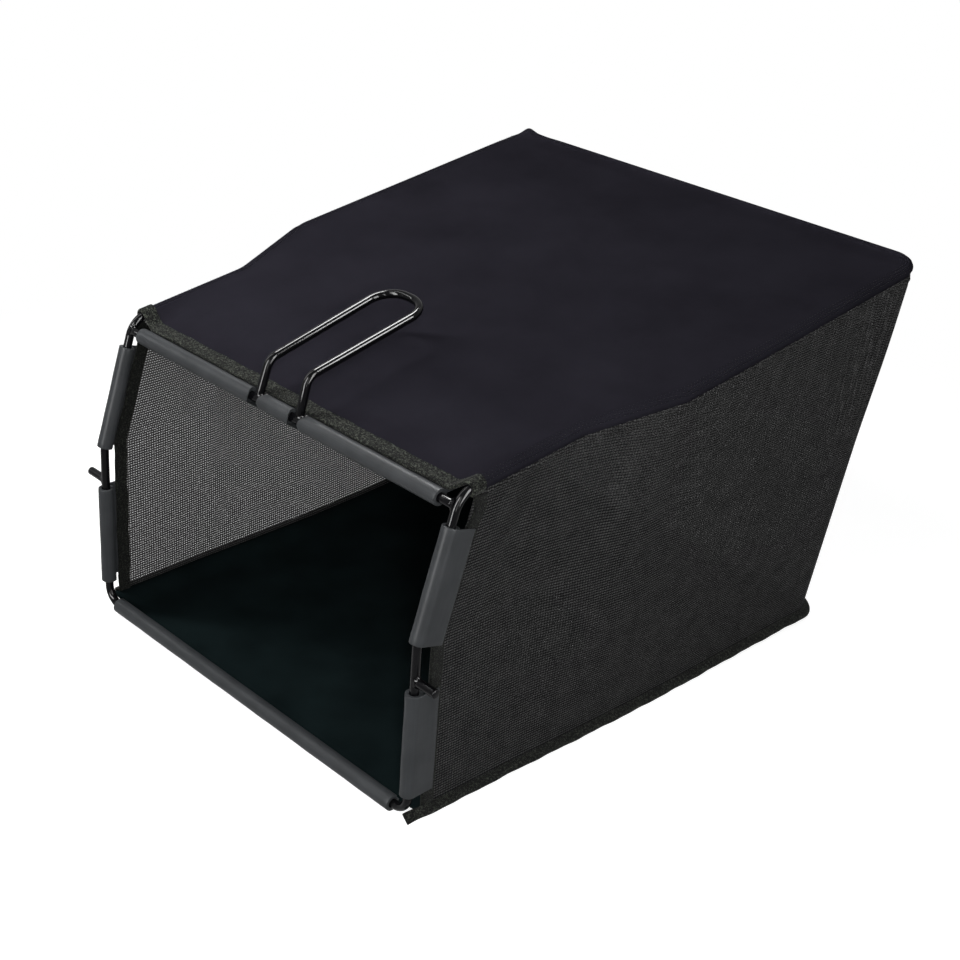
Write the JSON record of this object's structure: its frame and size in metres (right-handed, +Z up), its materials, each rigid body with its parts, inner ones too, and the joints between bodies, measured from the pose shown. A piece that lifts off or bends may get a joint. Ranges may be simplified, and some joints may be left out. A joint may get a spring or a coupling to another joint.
{
  "type": "grass collection bag",
  "caption": "Fabric collection bag on a bent wire frame, with push-on edge channels round its open mouth, hanging pegs and a wire lifting handle over the lid.",
  "frame": {"origin": "on the ground below the middle of the bag", "axes": "+X across the mouth, +Y from the open mouth to the rear, +Z up"},
  "size_m": [0.4648, 0.5372, 0.3413],
  "materials": {
    "wire": "gloss black powder coat on steel wire",
    "edge_channel": "semi-matt dark grey extruded plastic",
    "lid_fabric": "close black coated fabric with a blue tint",
    "wall_fabric": "coarse black woven fabric that lets air through",
    "hem_tape": "fuzzy black woven tape"
  },
  "bodies": {
    "root": {"frame_rod": "wire", "top_cross_rod": "wire", "handle": "wire", "left_peg": "wire", "right_peg": "wire", "bottom_channel": "edge_channel", "top_channel": "edge_channel", "left_lower_channel": "edge_channel", "left_upper_channel": "edge_channel", "right_lower_channel": "edge_channel", "right_upper_channel": "edge_channel", "top_panel": "lid_fabric", "top_front_hem": "hem_tape", "left_mouth_hem": "hem_tape", "right_mouth_hem": "hem_tape", "left_side_panel": "wall_fabric", "right_side_panel": "wall_fabric", "rear_panel": "wall_fabric", "bottom_panel": "wall_fabric", "bottom_binding": "hem_tape"}
  },
  "joints": []
}
